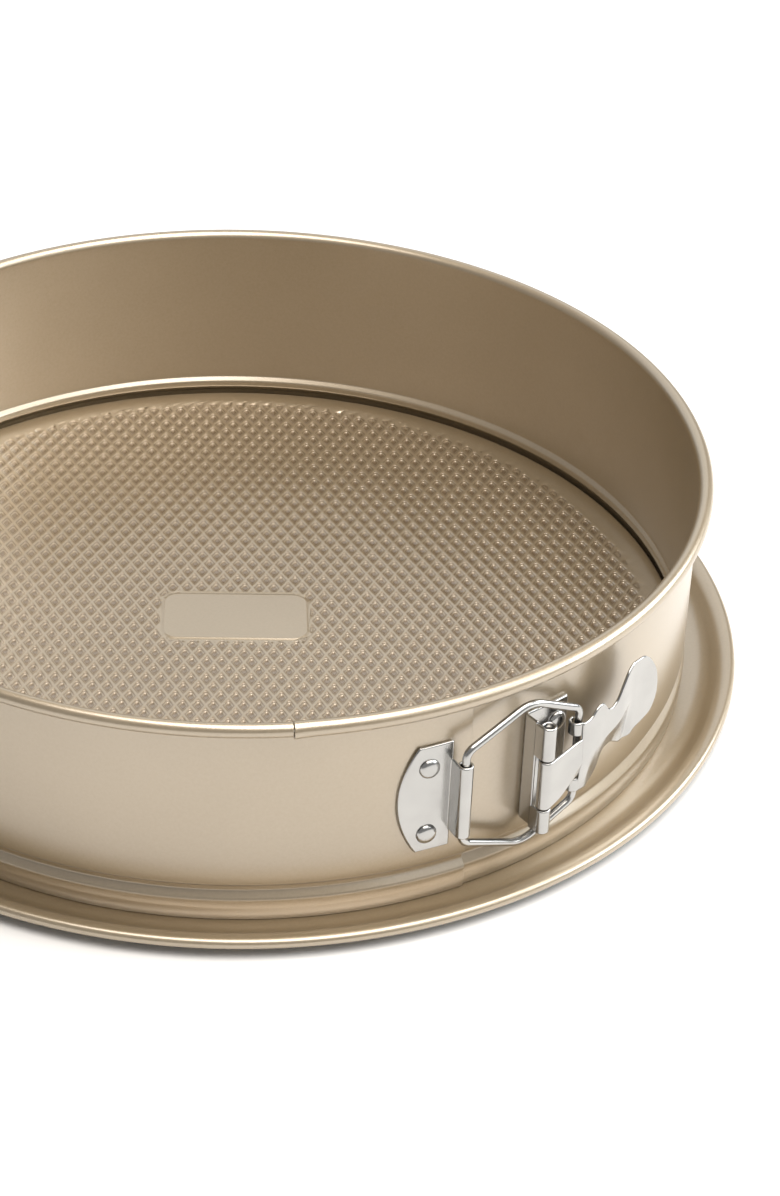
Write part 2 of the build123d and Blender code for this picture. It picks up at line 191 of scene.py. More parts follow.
def coated_steel(finish):
    """Champagne non-stick coating, sprayed on carbon steel and baked.

    Metal flake in the coating gives a broad satin gloss under a clear neutral
    shine, a fine even grain, and a slight cloudiness where the spray lies
    thicker. The flake is drawn at 0.9 mm, coarser than real, so that it shows.
    """
    material, tree, output = new_material("champagne_nonstick_coating")
    place = add_node(tree, "ShaderNodeTexCoord").outputs["Object"]
    flake = add_node(tree, "ShaderNodeTexNoise", {
        "Vector": place, "Scale": 1 / (0.9 * MM), "Detail": 3.0, "Roughness": 0.65})
    cloud = add_node(tree, "ShaderNodeTexNoise", {
        "Vector": place, "Scale": 1 / (55 * MM), "Detail": 2.0})
    mixed = add_node(tree, "ShaderNodeMath", {
        0: flake.outputs["Fac"], 1: cloud.outputs["Fac"]}, operation="ADD")
    share = add_node(tree, "ShaderNodeMapRange", {
        "Value": mixed.outputs[0], "From Min": 0.7, "From Max": 1.3})
    tone = add_node(tree, "ShaderNodeMix", {
        "Factor": share.outputs[0], 6: finish.coating_dark, 7: finish.coating},
        data_type="RGBA")
    # painted shade darkens the grooves and pits of the embossed base, and a painted highlight
    # lines the step in each diamond; the same tones also bump the step
    into = add_node(tree, "ShaderNodeAttribute", attribute_name="diamond_share")
    shade_and_step_ramp = add_node(tree, "ShaderNodeValToRGB", {"Fac": into.outputs["Fac"]})
    stops = shade_and_step_ramp.color_ramp.elements
    while len(stops) < len(DIAMOND_SHADE_TONES):
        stops.new(1.0)
    for stop, (at, tint) in zip(stops, DIAMOND_SHADE_TONES):
        stop.position, stop.color = at, linear(tint)
    # the painted shade and painted highlight of the diamonds multiply the coating's colour
    wear_and_painted_shade = add_node(tree, "ShaderNodeMix", {
        "Factor": 1.0, 6: tone.outputs[2], 7: shade_and_step_ramp.outputs["Color"]},
        data_type="RGBA", blend_type="MULTIPLY")
    gloss = add_node(tree, "ShaderNodeMapRange", {
        "Value": flake.outputs["Fac"], "From Min": 0.25, "From Max": 0.75,
        "To Min": 0.36, "To Max": 0.46})
    stepped = add_node(tree, "ShaderNodeBump", {
        "Height": shade_and_step_ramp.outputs["Color"], "Strength": 0.5, "Distance": 0.25 * MM})
    grain = add_node(tree, "ShaderNodeBump", {
        "Height": flake.outputs["Fac"], "Strength": 0.15, "Distance": 0.05 * MM,
        "Normal": stepped.outputs[0]})
    shader = add_node(tree, "ShaderNodeBsdfPrincipled", {
        "Base Color": wear_and_painted_shade.outputs[2], "Metallic": 0.65, "Roughness": gloss.outputs[0],
        "Coat Weight": 1.0, "Coat Roughness": 0.26, "Coat IOR": 2.35,
        "Normal": grain.outputs[0], "Coat Normal": grain.outputs[0]})
    tree.links.new(shader.outputs[0], output.inputs[0])
    return material


def plated_steel(finish):
    """Bright plated steel sheet and wire, stamped and rolled, then tumbled.

    Nearly a mirror, with rubbed patches about 7 mm across and faint upright
    rolling streaks 0.5 mm apart.
    """
    material, tree, output = new_material("bright_plated_steel")
    place = add_node(tree, "ShaderNodeTexCoord").outputs["Object"]
    lengthwise = add_node(tree, "ShaderNodeMapping", {
        "Vector": place, "Scale": (1.0, 1.0, 0.08)})
    streak = add_node(tree, "ShaderNodeTexNoise", {
        "Vector": lengthwise.outputs[0], "Scale": 1 / (0.5 * MM), "Detail": 4.0})
    wear_and_painted_shade = add_node(tree, "ShaderNodeTexNoise", {
        "Vector": place, "Scale": 1 / (7 * MM), "Detail": 3.0})
    tone = add_node(tree, "ShaderNodeMix", {
        "Factor": wear_and_painted_shade.outputs["Fac"], 6: finish.plating, 7: finish.plating_dull},
        data_type="RGBA")
    gloss = add_node(tree, "ShaderNodeMapRange", {
        "Value": wear_and_painted_shade.outputs["Fac"], "From Min": 0.3, "From Max": 0.7,
        "To Min": 0.16, "To Max": 0.27})
    scratch = add_node(tree, "ShaderNodeBump", {
        "Height": streak.outputs["Fac"], "Strength": 0.06, "Distance": 0.04 * MM})
    shader = add_node(tree, "ShaderNodeBsdfPrincipled", {
        "Base Color": tone.outputs[2], "Metallic": 1.0, "Roughness": gloss.outputs[0],
        "Normal": scratch.outputs[0]})
    tree.links.new(shader.outputs[0], output.inputs[0])
    return material


def studio_paper(finish):
    """Matt white studio paper: no gloss, a trace of fibre in its roughness."""
    material, tree, output = new_material("studio_paper")
    place = add_node(tree, "ShaderNodeTexCoord").outputs["Object"]
    fibre = add_node(tree, "ShaderNodeTexNoise", {
        "Vector": place, "Scale": 1 / (2 * MM), "Detail": 2.0})
    matt = add_node(tree, "ShaderNodeMapRange", {
        "Value": fibre.outputs["Fac"], "To Min": 0.85, "To Max": 1.0})
    shader = add_node(tree, "ShaderNodeBsdfPrincipled", {
        "Base Color": finish.floor, "Roughness": matt.outputs[0],
        "Specular IOR Level": 0.1})
    tree.links.new(shader.outputs[0], output.inputs[0])
    return material


def shared(maker):
    """The material that a maker builds, made once and then reused."""
    if maker.__name__ not in MADE:
        MADE[maker.__name__] = maker(bpy.context.scene.pan.finish)
    return MADE[maker.__name__]


# ======== surfaces ========
def polar(degrees, radius):
    """x and y at an angle from -Y towards +X, and a radius."""
    a = np.radians(degrees)
    return radius * np.sin(a), -radius * np.cos(a)


def quads(index, wrap_rows=False, wrap_columns=False):
    """Quads between neighbouring rows and columns of an index grid."""
    if wrap_rows:
        index = np.vstack([index, index[:1]])
    if wrap_columns:
        index = np.hstack([index, index[:, :1]])
    corners = (index[:-1, :-1], index[1:, :-1], index[1:, 1:], index[:-1, 1:])
    return np.stack(corners, -1).reshape(-1, 4)


def fan(ring, middle):
    """Triangles from a closed ring of points to one middle point."""
    return np.stack([np.full(len(ring), middle), ring, np.roll(ring, -1)], -1)


def tight(low, high, count, rim):
    """Even steps from low to high, with one close step at each end.

    The close steps keep smooth shading from rounding a whole face.
    """
    return np.concatenate([[low], np.linspace(low + rim, high - rim, count), [high]])


def unit(way):
    """Vectors at length 1; those of no length stay as they are."""
    size = np.linalg.norm(way, axis=-1, keepdims=True)
    return way / np.where(size > 0, size, 1)


def rounded_line(corners, bends, points=5):
    """Polyline whose inner corners are arcs, tangent to both runs.

    The centre of each arc lies on the bisector, bend / sin(half angle) away.
    """
    corners = np.array(corners, float)
    bends = np.broadcast_to(bends, len(corners) - 2)
    line = [corners[0]]
    for before, corner, after, bend in zip(corners, corners[1:], corners[2:], bends):
        back, ahead = unit(before - corner), unit(after - corner)
        half = math.acos(np.clip(back @ ahead, -1, 1)) / 2
        middle = unit(back + ahead)
        centre = corner + middle * bend / math.sin(half)
        side = unit(back - middle * math.cos(half))
        turn = np.linspace(1, -1, points)[:, None] * (math.pi / 2 - half)
        line.extend(centre - middle * bend * np.cos(turn) + side * bend * np.sin(turn))
    line.append(corners[-1])
    return np.array(line)


def solid_sheet(middle, half):
    """Closed sheet round a grid of middle points, shape (rows, columns, 3).

    The faces stand half a thickness to each side along the grid's normals, and
    the rim is carried out by the same amount, so the cut edges are rounded.
    """
    along = np.gradient(middle, axis=0)
    across = np.gradient(middle, axis=1)
    normal = unit(np.cross(along, across))
    rows, columns = middle.shape[:2]
    index = np.arange(rows * columns).reshape(rows, columns)
    loop = np.concatenate([
        index[0, :-1], index[:-1, -1], index[-1, :0:-1], index[:0:-1, 0]])
    flat = middle.reshape(-1, 3)
    outward, sideways = np.zeros_like(middle), np.zeros_like(middle)
    outward[0], outward[-1] = middle[0] - middle[1], middle[-1] - middle[-2]
    sideways[:, 0] = middle[:, 0] - middle[:, 1]
    sideways[:, -1] = middle[:, -1] - middle[:, -2]
    rim_way = unit(unit(outward) + unit(sideways))
    rim = (flat + half * rim_way.reshape(-1, 3))[loop]
    top = flat + half * normal.reshape(-1, 3)
    bottom = flat - half * normal.reshape(-1, 3)
    count = rows * columns
    strip = np.stack([loop, 2 * count + np.arange(len(loop)), loop + count])
    faces = np.concatenate([
        quads(index), quads(index)[:, ::-1] + count, quads(strip, wrap_columns=True)])
    return np.concatenate([top, bottom, rim]), [faces]


def lathe(profile, centre, axis, sides):
    """Profile of (radius, height) pairs turned about an axis; both ends on the axis."""
    axis = unit(np.array(axis, float))
    upright = abs(axis[2]) > 0.99
    first = np.array([1.0, 0, 0]) if upright else unit(np.cross(axis, (0, 0, 1.0)))
    second = np.cross(axis, first)
    turn = np.linspace(0, 2 * math.pi, sides, endpoint=False)
    ring = np.outer(np.cos(turn), first) + np.outer(np.sin(turn), second)
    radii, heights = np.array(profile, float).T
    body = radii[1:-1, None, None] * ring + heights[1:-1, None, None] * axis + centre
    poles = np.array([centre + heights[0] * axis, centre + heights[-1] * axis])
    index = np.arange(body.shape[0] * sides).reshape(body.shape[0], sides)
    last = index.size
    shifted = np.roll(index, -1, axis=1)
    low = np.stack([np.full(sides, last), shifted[0], index[0]], -1)
    high = np.stack([np.full(sides, last + 1), index[-1], shifted[-1]], -1)
    vertices = np.concatenate([body.reshape(-1, 3), poles])
    return vertices, [quads(index, wrap_columns=True), low, high]


def joined(shells):
    """Several (vertices, face arrays) as one."""
    vertices, faces, start = [], [], 0
    for points, groups in shells:
        vertices.append(points)
        faces.extend(group + start for group in groups)
        start += len(points)
    return np.concatenate(vertices), faces


def make_piece(name, shell, body, nodes, finish, shares=None):
    """Mesh object from (vertices, face arrays), riding on a body for its CAD nodes.

    `shares` says how far each vertex lies into its diamond, for the coating.
    """
    vertices, groups = shell
    mesh = bpy.data.meshes.new(name)
    faces = [face for group in groups for face in group.tolist()]
    mesh.from_pydata(vertices.tolist(), [], faces)
    if shares is not None:
        layer = mesh.attributes.new("diamond_share", "FLOAT", "POINT")
        layer.data.foreach_set("value", shares)
    shape = bmesh.new()
    shape.from_mesh(mesh)
    loose = [v for v in shape.verts if not v.link_faces]
    bmesh.ops.delete(shape, geom=loose, context="VERTS")
    bmesh.ops.recalc_face_normals(shape, faces=shape.faces)
    shape.to_mesh(mesh)
    shape.free()
    mesh.shade_smooth()
    mesh.materials.append(shared(finish))
    piece = bpy.data.objects.new(name, mesh)
    bpy.context.scene.collection.objects.link(piece)
    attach(piece, body)
    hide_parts(*nodes)
    return piece


# ======== band ========
BAND_ROWS, LAP_ROWS = 560, 32
ROW_RIM = 0.05  # degrees from each end of the strip to its next row
BAND_FOOT = 1.0 * MM
FOOT_ROUND = 0.7  # how far the foot's cut edge is rounded, in half sheets
BEAD_HEIGHTS = (5.0 * MM, 7.5 * MM)
CREASE_HEIGHTS = (9.5 * MM, 11.0 * MM)
CREASE_REACH = 2.6 * MM  # how far above and below it the crease lifts the wall
WALL_START = 12.5 * MM
TUCKED_TOP = 60.2 * MM  # outer layer, where it tucks under the inner layer's roll
SECTION_BENDS = (1.5 * MM, 1.5 * MM, 1.0 * MM, 1.0 * MM, 1.2 * MM)
WALL_HEIGHTS = (15.5 * MM, 30 * MM, 45 * MM, 58 * MM, 59.9 * MM)
ROLL_TURN = 295.0
RIM_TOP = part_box("band")[1].z
ROLL_GAP = 0.15  # degrees between the two ends of the roll
ROLL_CHANGE = (150, 60)  # where the roll starts to grow tighter, and over how much
FLARE_REACH = 1.6  # degrees over which the roll's open end closes up


def band_middle(settings, strip):
    """Middle of the strip at each strip angle: arrays of radius and height.

    The foot, bead, crease and wall are one bent line. The rim is an arc about a
    centre one roll radius out from the wall. The second half of the strip grows
    outwards by spiral * (1 + cos angle), so its end lies over the first.
    """
    half = settings.sheet / 2
    wall = settings.inner_radius + half
    bead, crease = wall + settings.bead_out, wall - settings.crease_in
    line = rounded_line([
        (wall, BAND_FOOT), (bead, BEAD_HEIGHTS[0]), (bead, BEAD_HEIGHTS[1]),
        (crease, CREASE_HEIGHTS[0]), (crease, CREASE_HEIGHTS[1]), (wall, WALL_START),
        (wall, WALL_HEIGHTS[0])], SECTION_BENDS, 7)
    line = np.concatenate([line, [(wall, z) for z in (*WALL_HEIGHTS[1:], TUCKED_TOP)]])
    tongue = math.degrees(settings.tongue)
    grow = np.where(strip > 180, settings.spiral * (1 + np.cos(np.radians(strip))), 0.0)
    blend = np.clip((strip - ROLL_CHANGE[0]) / ROLL_CHANGE[1], 0, 1)
    roll = settings.inner_roll + (settings.outer_roll - settings.inner_roll) * blend
    roll = roll + settings.roll_flare * np.exp(-(strip - tongue) / FLARE_REACH)
    turn = np.radians(180 - np.linspace(0, ROLL_TURN, 30))
    centre_r = settings.inner_radius + grow + roll
    centre_z = RIM_TOP - roll
    curl_r = centre_r[:, None] + (roll - half)[:, None] * np.cos(turn)
    curl_z = centre_z[:, None] + (roll - half)[:, None] * np.sin(turn)
    share = (360 - strip) / (360 - tongue)
    creased = np.exp(-(((line[:, 1] - np.mean(CREASE_HEIGHTS)) / CREASE_REACH) ** 2))
    wall_r = line[:, 0] + grow[:, None]
    wall_z = line[:, 1] + settings.crease_rise * share[:, None] * creased
    return np.hstack([wall_r, curl_r]), np.hstack([wall_z, curl_z]), len(line)


def band_shell(settings):
    """The strip: its section carried round, with both ends and both edges closed.

    Past `tuck` the strip lies under its own start, so it has no rolled rim there.
    """
    tongue = math.degrees(settings.tongue)
    tuck = 360 + tongue - ROLL_GAP
    strip = np.concatenate([
        tight(tongue, tuck, BAND_ROWS, ROW_RIM), tight(tuck, 360, LAP_ROWS, ROW_RIM)[1:]])
    radius, height, wall_count = band_middle(settings, strip)
    slope_r = np.gradient(radius, axis=1)
    slope_z = np.gradient(height, axis=1)
    size = np.hypot(slope_r, slope_z)
    slope_r, slope_z = slope_r / size, slope_z / size
    half = settings.sheet / 2
    outer = (radius + half * slope_z, height - half * slope_r)
    inner = (radius - half * slope_z, height + half * slope_r)
    foot = (radius[:, :1], height[:, :1] - half * FOOT_ROUND)
    lip = (radius[:, -1:] + half * slope_r[:, -1:], height[:, -1:] + half * slope_z[:, -1:])
    r = np.hstack([outer[0], lip[0], inner[0][:, ::-1], foot[0]])
    z = np.hstack([outer[1], lip[1], inner[1][:, ::-1], foot[1]])
    x, y = polar(strip[:, None], r)
    rows, columns = r.shape
    index = np.arange(rows * columns).reshape(rows, columns)
    count = radius.shape[1]
    out, back = index[:, :count], index[:, count + 1 : 2 * count + 1][:, ::-1]
    lip_at, foot_at = index[:, count], index[:, -1]
    row_tuck = int(np.argmin(abs(strip - tuck)))
    full = index[: row_tuck + 1]
    tucked = np.hstack([
        back[row_tuck:, :wall_count][:, ::-1], foot_at[row_tuck:, None],
        out[row_tuck:, :wall_count]])

    def end_cap(row, first, last):
        """Quads across the sheet at one row, between two section points."""
        return quads(np.stack([out[row, first:last], back[row, first:last]]))

    def end_tip(row, tip, column):
        """Triangle that closes an edge of the sheet at one row."""
        return np.array([[out[row, column], tip[row], back[row, column]]])

    faces = [
        quads(full, wrap_columns=True), quads(tucked, wrap_columns=True),
        end_cap(0, 0, count), end_tip(0, lip_at, -1), end_tip(0, foot_at, 0),
        end_cap(row_tuck, wall_count - 1, count), end_tip(row_tuck, lip_at, -1),
        end_cap(-1, 0, wall_count), end_tip(-1, foot_at, 0)]
    return np.stack([x, y, z], -1).reshape(-1, 3), faces


class PAN_OT_band(Operator):
    """Rolls the sprung strip with its rim, crease and bead, one end over the other"""

    bl_idname = "pan.band"
    bl_label = "Band"

    def execute(self, context):
        shell = band_shell(context.scene.pan.band)
        make_piece("sprung_band", shell, "ring", ["band"], coated_steel)
        return {"FINISHED"}


# ======== base ========
PLATEAU_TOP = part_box("base_plate")[1].z
BASE_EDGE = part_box("base_plate")[1].x
TROUGH_RADIUS = 137.0 * MM
DISH_RADIUS = 142.2 * MM
EDGE_ROLL = 1.5 * MM
EDGE_ROLL_HEIGHT = 4.15 * MM
EDGE_ROLL_TURN = 225.0
BASE_BENDS = (0.8 * MM, 0.8 * MM, 8.0 * MM, 5.0 * MM)
FLAT_START = 124.2 * MM  # where the smooth margin of the plateau begins
PATTERN_ORIGIN = (-0.2 * MM, -2.6 * MM)
PLAQUE_CENTRE = (-0.8 * MM, -0.6 * MM)
PLAQUE_CORNER = 4.6 * MM
PLAQUE_MARGIN = 0.4 * MM
DIAMOND_STEPS = (0.0, 0.12, 0.35, 0.65, 0.88)   # stations along a diamond's side
# depth against the distance from the nearest ridge, as a share of the side
DIAMOND_SHARES = (0.0, 0.12, 0.35, 0.5)
DIAMOND_DEPTHS = (0.0, 0.15, 1.0, 1.0)
FADE = 3.0 * MM  # the diamonds grow shallow over this much at their rim
PLAQUE_FADE = 0.8 * MM  # and over this much at the plaque
UNDER_STEP, UNDER_DROP = 1.2 * MM, 0.4 * MM  # the underside drops with the embossing
# the plaque's edge, from its foot to its top: how far in, and height from the ridges
PLAQUE_INSETS = (0.0, 0.35 * MM, 0.8 * MM, 1.3 * MM)
PLAQUE_FOOT = (-0.25 * MM, 0.05 * MM)
PLAQUE_SHARES = (0.85, 1.0, 1.1)  # of the plaque's rise: edge, top, middle
BASE_SIDES = 360


def plaque_outline(settings, inset, points=10):
    """Rounded rectangle in the pattern's own axes: four quarter arcs joined up."""
    half_long = settings.plaque_long / 2 - inset
    half_wide = settings.plaque_wide / 2 - inset
    corner = PLAQUE_CORNER - inset
    quarter = np.linspace(0, math.pi / 2, points)
    sides = []
    for turn, (sign_p, sign_q) in enumerate(((1, 1), (-1, 1), (-1, -1), (1, -1))):
        a = quarter + turn * math.pi / 2
        sides.append(np.stack([
            sign_p * (half_long - corner) + corner * np.cos(a),
            sign_q * (half_wide - corner) + corner * np.sin(a)], -1))
    return np.concatenate(sides) + PLAQUE_CENTRE


def off_plaque(settings, p, q):
    """How far a point lies outside the plaque's rounded rectangle."""
    over_p = abs(p - PLAQUE_CENTRE[0]) - settings.plaque_long / 2 + PLAQUE_CORNER
    over_q = abs(q - PLAQUE_CENTRE[1]) - settings.plaque_wide / 2 + PLAQUE_CORNER
    return np.hypot(np.maximum(over_p, 0), np.maximum(over_q, 0)) - PLAQUE_CORNER


def boundary_loops(faces):
    """Closed rings of vertices along edges that only one face uses."""
    edges = np.stack([faces, np.roll(faces, -1, axis=1)], -1).reshape(-1, 2)
    key = np.sort(edges, axis=1)
    _, inverse, counts = np.unique(key, axis=0, return_inverse=True, return_counts=True)
    border = edges[counts[inverse.ravel()] == 1]
    following = dict(border.tolist())
    loops = []
    while following:
        start, at = next(iter(following.items()))
        del following[start]
        loop = [start]
        while at != start:
            loop.append(at)
            at = following.pop(at)
        loops.append(np.array(loop))
    return sorted(loops, key=len)


def diamonds(settings):
    """Embossed field: height over a grid along the two diamond directions.

    Ridges stand on whole numbers of both grid coordinates. Between them the
    sheet drops in four slopes to a flat diamond, shallower near the edges.
    """
    reach = int(2 * settings.pattern_radius / settings.diamond_pitch) + 2
    line = (np.arange(-reach, reach)[:, None] + np.array(DIAMOND_STEPS)).ravel()
    a, b = np.meshgrid(line, line, indexing="ij")
    p = PATTERN_ORIGIN[0] + settings.diamond_pitch / 2 * (a + b)
    q = PATTERN_ORIGIN[1] + settings.diamond_row * (a - b)
    share_a, share_b = abs(a - np.round(a)), abs(b - np.round(b))
    share = np.minimum(share_a, share_b)
    room = settings.pattern_radius - np.hypot(p, q)
    gap = off_plaque(settings, p, q) - PLAQUE_MARGIN
    fade = np.clip(np.minimum(room / FADE, gap / PLAQUE_FADE), 0, 1)
    depth = fade * np.interp(share, DIAMOND_SHARES, DIAMOND_DEPTHS)
    z = PLATEAU_TOP - settings.diamond_depth * depth
    kept = (room > 0) & (gap > 0)
    index = np.arange(a.size).reshape(a.shape)
    faces = quads(index)
    faces = faces[kept.ravel()[faces].all(axis=1)]
    points = np.stack([p, q, z], -1).reshape(-1, 3)
    return points, faces, (share * fade).ravel()


def bridged(outer_points, outer_index, inner_points, inner_index):
    """Triangles that fill the flat strip between two closed outlines."""
    rings = [[Vector((*xy, 0)) for xy in ring] for ring in (outer_points, inner_points)]
    found = np.array(tessellate_polygon(rings))
    return np.concatenate([outer_index, inner_index])[found]


def base_section(settings):
    """Section of the base outside the pattern, as one loop of radius and height."""
    half = settings.sheet / 2
    middle = PLATEAU_TOP - half
    side = settings.plateau_radius - half
    roll_centre = BASE_EDGE - EDGE_ROLL
    roll_top = EDGE_ROLL_HEIGHT + EDGE_ROLL - half
    line = rounded_line([
        (FLAT_START, middle), (side, middle), (side, half), (TROUGH_RADIUS, half),
        (DISH_RADIUS, roll_top), (roll_centre, roll_top)], BASE_BENDS, 8)
    turn = np.radians(90 - np.linspace(0, EDGE_ROLL_TURN, 18))[1:]
    curl = np.stack([
        roll_centre + (EDGE_ROLL - half) * np.cos(turn),
        EDGE_ROLL_HEIGHT + (EDGE_ROLL - half) * np.sin(turn)], -1)
    line = np.concatenate([line, curl])
    slope = unit(np.gradient(line, axis=0))
    normal = np.stack([-slope[:, 1], slope[:, 0]], -1)
    lip = line[-1:] + slope[-1:] * half
    under = (line - half * normal)[::-1]
    embossed = under[-1:] - (UNDER_STEP, UNDER_DROP)
    return np.concatenate([line + half * normal, lip, under, embossed])


def base_shell(settings):
    """The base: turned section, embossed field, plaque and plain underside."""
    section = base_section(settings)
    turn = np.linspace(0, 360, BASE_SIDES, endpoint=False)
    x, y = polar(turn[:, None], section[:, 0])
    turned = np.stack([x, y, np.broadcast_to(section[:, 1], x.shape)], -1)
    index = np.arange(turned[..., 0].size).reshape(turned.shape[:2])
    under = np.array([[0, 0, section[-1, 1]]])
    disc = fan(index[:, -1], index.size)

    field, field_faces, shares = diamonds(settings)
    plaque_loop, edge_loop = boundary_loops(field_faces)[-2:]
    start = index.size + 1
    lines = [plaque_outline(settings, inset) for inset in PLAQUE_INSETS]
    *levels, crown_level = PLATEAU_TOP + np.array([
        *PLAQUE_FOOT, *(share * settings.plaque_rise for share in PLAQUE_SHARES)])
    plaque = np.concatenate([
        np.column_stack([line, np.full(len(line), level)]) for line, level in zip(lines, levels)])
    middle = np.array([[*PLAQUE_CENTRE, crown_level]])
    plaque_start = start + len(field)
    plaque_index = plaque_start + np.arange(len(plaque)).reshape(len(lines), -1)
    crown = fan(plaque_index[-1], plaque_start + len(plaque))

    pattern = np.concatenate([field, plaque, middle])
    cos, sin = math.cos(settings.pattern_turn), math.sin(settings.pattern_turn)
    spun = np.column_stack([
        pattern[:, 0] * cos - pattern[:, 1] * sin,
        pattern[:, 0] * sin + pattern[:, 1] * cos, pattern[:, 2]])
    margin = bridged(
        turned[:, 0, :2], index[:, 0], spun[edge_loop, :2], start + edge_loop)
    surround = bridged(
        spun[plaque_loop, :2], start + plaque_loop,
        spun[len(field) : len(field) + len(lines[0]), :2], plaque_index[0])
    faces = [
        quads(index, wrap_rows=True), disc, field_faces + start, margin, surround,
        quads(plaque_index, wrap_columns=True), crown]
    points = np.concatenate([turned.reshape(-1, 3), under, spun])
    inside = np.zeros(len(points))
    inside[start : start + len(field)] = shares
    return points, faces, inside


class PAN_OT_base(Operator):
    """Presses the base: embossed plateau with a plain plaque, trough and rolled edge"""

    bl_idname = "pan.base"
    bl_label = "Base"

    def execute(self, context):
        *shell, shares = base_shell(context.scene.pan.base)
        make_piece(
            "pressed_base", shell, "base", ["base_plate"], coated_steel, shares)
        return {"FINISHED"}


# ======== clasp ========
RIM_STEP = 0.12 * MM  # from a cut edge to the next row, which keeps the edge crisp
PLATE_RIM = 0.012  # the same across a wall plate, as a share of its width
BARREL_TURN = 305.0
WEB_BEND = 0.9 * MM  # where a tongue turns out from the wall
OUTER_WALL = 131.18 * MM    # outside of the wall under the bail plate
INNER_WALL = 130.5 * MM  # outside of the wall under the lever bracket
SEAT = 0.03 * MM
# angles are in degrees round the pan from the seam
BAIL_PLATE = (-8.9, -2.6)
BAIL_PLATE_HEIGHTS = (17.3 * MM, 51.3 * MM)
BAIL_PLATE_BOW = 2.4  # how far the free edge's ends lie back from its middle
BAIL_PLATE_NIP = (0.3, 0.96)  # extra at its corners, from this share on
BAIL_TONGUE = (22.7 * MM, 45.8 * MM)
BAIL_TONGUE_START = -4.0 * MM
BAIL_RIVETS = (-5.4, (23.1 * MM, 44.2 * MM))
BRACKET_START = 0.35  # from the barrel's left side
BRACKET_END = 13.6
BRACKET_HEIGHTS = (17.5 * MM, 51.4 * MM)
BRACKET_TONGUE_START = 2.0 * MM
WEB_END, ROLL_START = 2.7 * MM, 2.9 * MM  # short of the axis, so they lap a little
BRACKET_BARRELS = ((16.55 * MM, 24.3 * MM), (40.2 * MM, 50.9 * MM))
BRACKET_CORNER = 1.2 * MM
BRACKET_RIVETS = (12.1, (22.0 * MM, 44.6 * MM))
RIVET_HEAD, RIVET_RISE = 2.85 * MM, 1.3 * MM
RIVET_SHANK = 1.5 * MM
RIVET_TAIL, RIVET_TAIL_RIM = 2.6 * MM, 2.5 * MM
RIVET_TAIL_HEIGHT = 0.5 * MM
RIVET_LIFT = 0.02 * MM
BAIL_RIVET_DEPTH, BRACKET_RIVET_DEPTH = -1.55 * MM, -2.05 * MM
HEADED_PAST = -1.6 * MM  # a rivet that goes deeper than this has a tail in sight
PIN_CHAMFER = 0.25 * MM


def at_axis(centre, side, out, heights):
    """Points beside a vertical axis: `side` along the wall and `out` from the pan."""
    away = unit(centre[:2])
    plan = np.outer(side, (-away[1], away[0])) + np.outer(out, away)
    points = np.empty((len(plan), len(heights), 3))
    points[..., :2] = plan[:, None]
    points[..., 2] = heights
    return points


def barrel_path(settings, centre, plate_radius, start_side):
    """Plan of a tongue: along the plate, out from the wall, then rolled up.

    Side and out coordinates of the sheet's middle. The web stands on the left of
    the barrel, and the roll is an arc about its axis.
    """
    reach = math.hypot(*centre[:2])
    middle = settings.barrel_radius - settings.sheet / 2
    web = rounded_line([
        (start_side, plate_radius), (-middle, plate_radius), (-middle, reach)], WEB_BEND)
    a = np.radians(180 - np.linspace(0, BARREL_TURN, 34))[1:]
    roll = np.stack([middle * np.cos(a), reach + middle * np.sin(a)], -1)
    return np.concatenate([web, roll])


def tongue_shell(settings, centre, path, low, high):
    """Sheet that follows a plan path between two heights."""
    tip = path[0] + RIM_STEP * unit(path[1] - path[0])
    end = path[-1] + RIM_STEP * unit(path[-2] - path[-1])
    path = np.vstack([path[:1], tip, path[1:-1], end, path[-1:]])
    half = settings.sheet / 2
    heights = tight(low + half, high - half, 3, RIM_STEP)
    return solid_sheet(at_axis(centre, path[:, 0], path[:, 1], heights), half)


def wall_plate(starts, ends, heights, radius, half):
    """Plate bent to the wall: each height runs between its own two angles."""
    span = tight(0.0, 1.0, 14, PLATE_RIM)
    angles = starts[:, None] + (ends - starts)[:, None] * span
    x, y = polar(angles, radius)
    z = np.broadcast_to(heights[:, None], x.shape)
    return solid_sheet(np.stack([x, y, z], -1), half)


def rivet_shell(degrees, height, seat, depth):
    """Domed head with a soft foot, its short shank, and a flat tail inside.

    The dome is a quarter turn of radius head * sin^0.8 and height rise * cos^0.9,
    a little fuller than a part of a ball.
    """
    x, y = polar(degrees, 1.0)
    a = np.linspace(0, math.pi / 2, 9)[1:-1]
    dome = np.column_stack([RIVET_HEAD * np.sin(a) ** 0.8, RIVET_RISE * np.cos(a) ** 0.9])
    rim = [
        (RIVET_HEAD, 0.22 * MM), (RIVET_HEAD * 0.985, 0.04 * MM), (RIVET_HEAD * 0.94, 0.0)]
    below = [(RIVET_SHANK, 0.0), (RIVET_SHANK, depth)]
    if depth < HEADED_PAST:
        tail_top = depth + RIVET_TAIL_HEIGHT
        below = [
            (RIVET_SHANK, 0.0), (RIVET_SHANK, tail_top), (RIVET_TAIL, tail_top),
            (RIVET_TAIL, depth + 0.1 * MM), (RIVET_TAIL_RIM, depth)]
    profile = [(0, RIVET_RISE), *dome, *rim, *below, (0, depth)]
    return lathe(profile, np.array([x * seat, y * seat, height]), (x, y, 0), 40)


